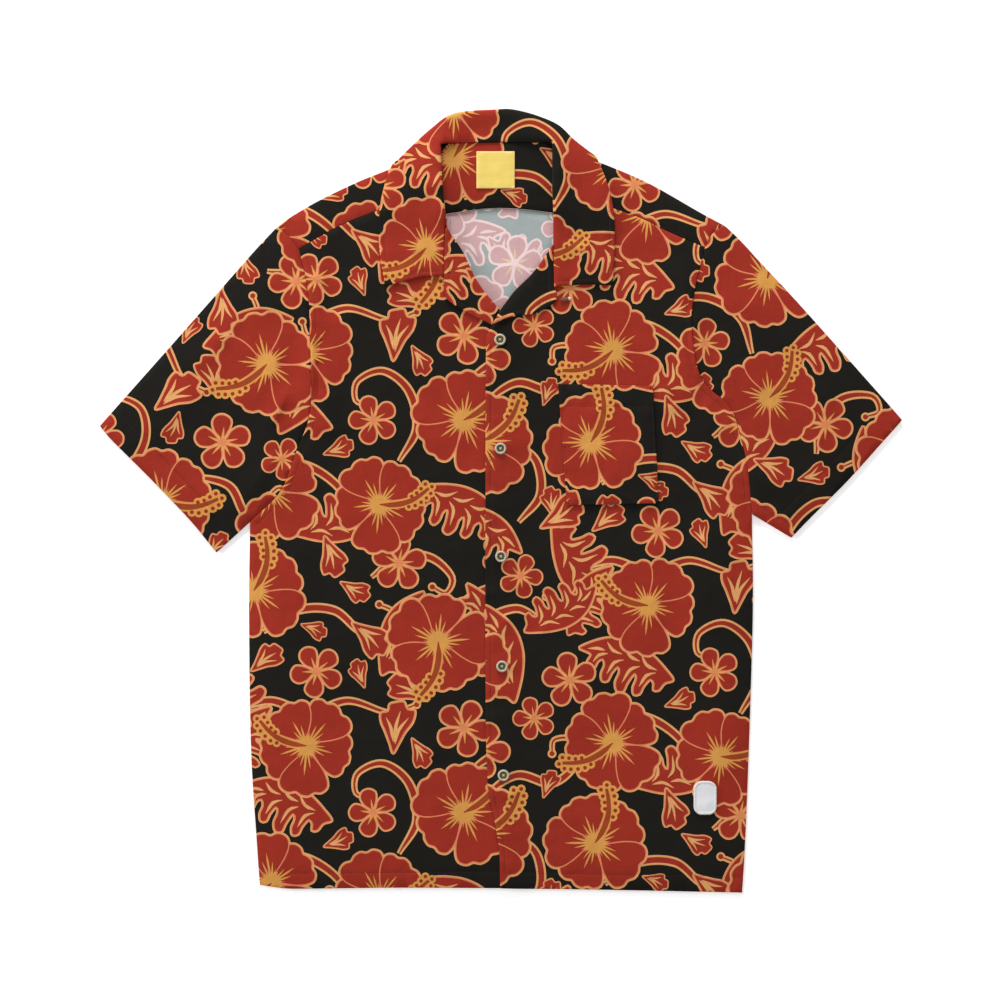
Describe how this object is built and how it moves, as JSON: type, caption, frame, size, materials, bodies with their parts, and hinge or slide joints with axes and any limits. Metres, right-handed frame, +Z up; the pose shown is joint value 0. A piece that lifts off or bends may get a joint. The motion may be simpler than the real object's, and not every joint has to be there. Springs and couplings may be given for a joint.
{
  "type": "hawaiian shirt",
  "caption": "Short-sleeved printed shirt with an open camp collar, buttoned front and chest pocket, laid flat on its back.",
  "frame": {"origin": "centre of the shirt's box at the surface that it lies on", "axes": "+X from the wearer's right sleeve to the left one, +Y from the hem to the collar, +Z up from the surface, out of the front"},
  "size_m": [0.818, 0.7994, 0.0137],
  "materials": {
    "print_cloth": "soft plain weave with a printed flower pattern in red and orange on black, matt with a faint sheen",
    "label_cloth": "woven satin label, bare",
    "patch_cloth": "close-woven white patch with a stitched edge, bare",
    "button": "turned, pale rim and darker centre, half gloss"
  },
  "bodies": {
    "root": {"back": "print_cloth", "yoke": "print_cloth", "yoke_lining": "print_cloth", "front_right": "print_cloth", "front_left": "print_cloth", "facing_right": "print_cloth", "facing_left": "print_cloth", "sleeve_right": "print_cloth", "sleeve_left": "print_cloth", "collar": "print_cloth", "pocket": "print_cloth", "button_loop": "print_cloth", "neck_label": "label_cloth", "hem_patch": "patch_cloth", "button_1": "button", "button_2": "button", "button_3": "button", "button_4": "button", "button_5": "button"}
  },
  "joints": []
}
